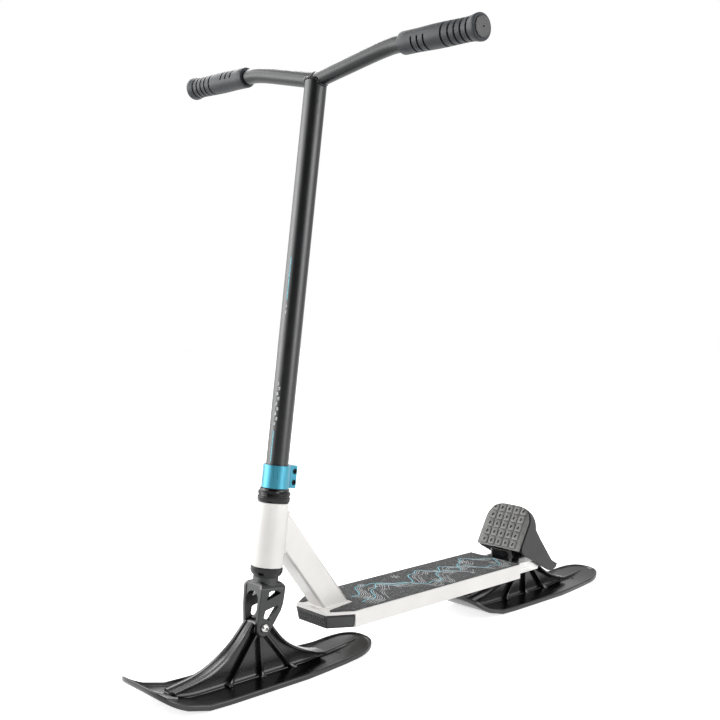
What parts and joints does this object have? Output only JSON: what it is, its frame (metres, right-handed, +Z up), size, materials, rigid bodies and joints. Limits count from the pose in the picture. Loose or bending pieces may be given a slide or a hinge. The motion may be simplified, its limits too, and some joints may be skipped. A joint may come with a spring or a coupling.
{
  "type": "snow scooter",
  "caption": "Snow scooter: a kick scooter frame with T-bar steering that stands on short skis, each free to pitch on its own pivot, with a foot stop at the rear.",
  "frame": {"origin": "on the snow, under the middle of the bounding box, between the ski noses and tails and on the middle line", "axes": "+Z up, -Y ahead towards the front ski's nose, +X to the rider's left"},
  "size_m": [0.603, 1.0124, 0.8817],
  "materials": {
    "white_paint": "warm off-white powder coat, half gloss",
    "black_steel": "black powder coat, satin",
    "black_alloy": "black anodised alloy, satin",
    "ski_plastic": "moulded black plastic, half gloss",
    "grey_plastic": "moulded dark grey plastic, matte",
    "dark_plastic": "moulded black plastic, matte",
    "pad_rubber": "mid-grey rubber, matte",
    "grip_rubber": "dark grey rubber, matte",
    "grip_tape": "charcoal grit sheet, rough",
    "blue_anodised": "light blue anodised, satin",
    "bright_aluminium": "brushed",
    "bearing_steel": "ground and plated"
  },
  "bodies": {
    "frame": {"deck": "white_paint", "grip_tape": "grip_tape", "nose_bumper": "dark_plastic", "down_tube": "white_paint", "head_tube": "white_paint", "lower_headset_cup": "black_alloy", "upper_headset_cup": "black_alloy", "lower_bearing": "bearing_steel", "upper_bearing": "bearing_steel", "rear_bracket": "bright_aluminium", "bracket_bolt_1": "bearing_steel", "bracket_bolt_2": "bearing_steel", "bracket_bolt_3": "bearing_steel", "bracket_bolt_4": "bearing_steel", "rear_pivot_bolt": "bright_aluminium", "rear_pivot_nut": "bright_aluminium", "foot_stop_block": "dark_plastic", "foot_stop_shell": "grey_plastic", "foot_stop_pad": "pad_rubber", "foot_stop_screw_right": "bearing_steel", "foot_stop_screw_left": "bearing_steel"},
    "steering": {"fork": "black_alloy", "crown_race": "bearing_steel", "steerer_tube": "black_steel", "headset_cover": "black_alloy", "compression_washer": "bearing_steel", "compression_bolt": "black_steel", "star_nut": "bearing_steel", "handlebar_riser": "black_steel", "clamp_collar": "blue_anodised", "clamp_bolt_lower": "black_steel", "clamp_bolt_upper": "black_steel", "bar_arm_left": "black_steel", "bar_arm_right": "black_steel", "grip_left": "grip_rubber", "grip_right": "grip_rubber", "bar_plug_left": "dark_plastic", "bar_plug_right": "dark_plastic", "front_pivot_bolt": "bright_aluminium", "front_pivot_nut": "bright_aluminium"},
    "front_ski": {"front_ski": "ski_plastic", "front_pivot_sleeve": "bearing_steel"},
    "rear_ski": {"rear_ski": "ski_plastic", "rear_pivot_sleeve": "bearing_steel"}
  },
  "joints": [
    {"name": "steering", "type": "hinge", "parent": "frame", "child": "steering", "pos_m": [0, -0.29985, 0.0795], "axis": [0, 0.1219, 0.9925], "continuous": true},
    {"name": "front_ski_pitch", "type": "hinge", "parent": "steering", "child": "front_ski", "pos_m": [0, -0.30715, 0.075], "axis": [1, 0, 0], "range_deg": [-18, 12]},
    {"name": "rear_ski_pitch", "type": "hinge", "parent": "frame", "child": "rear_ski", "pos_m": [0, 0.29715, 0.075], "axis": [1, 0, 0], "range_deg": [-5, 12]}
  ]
}
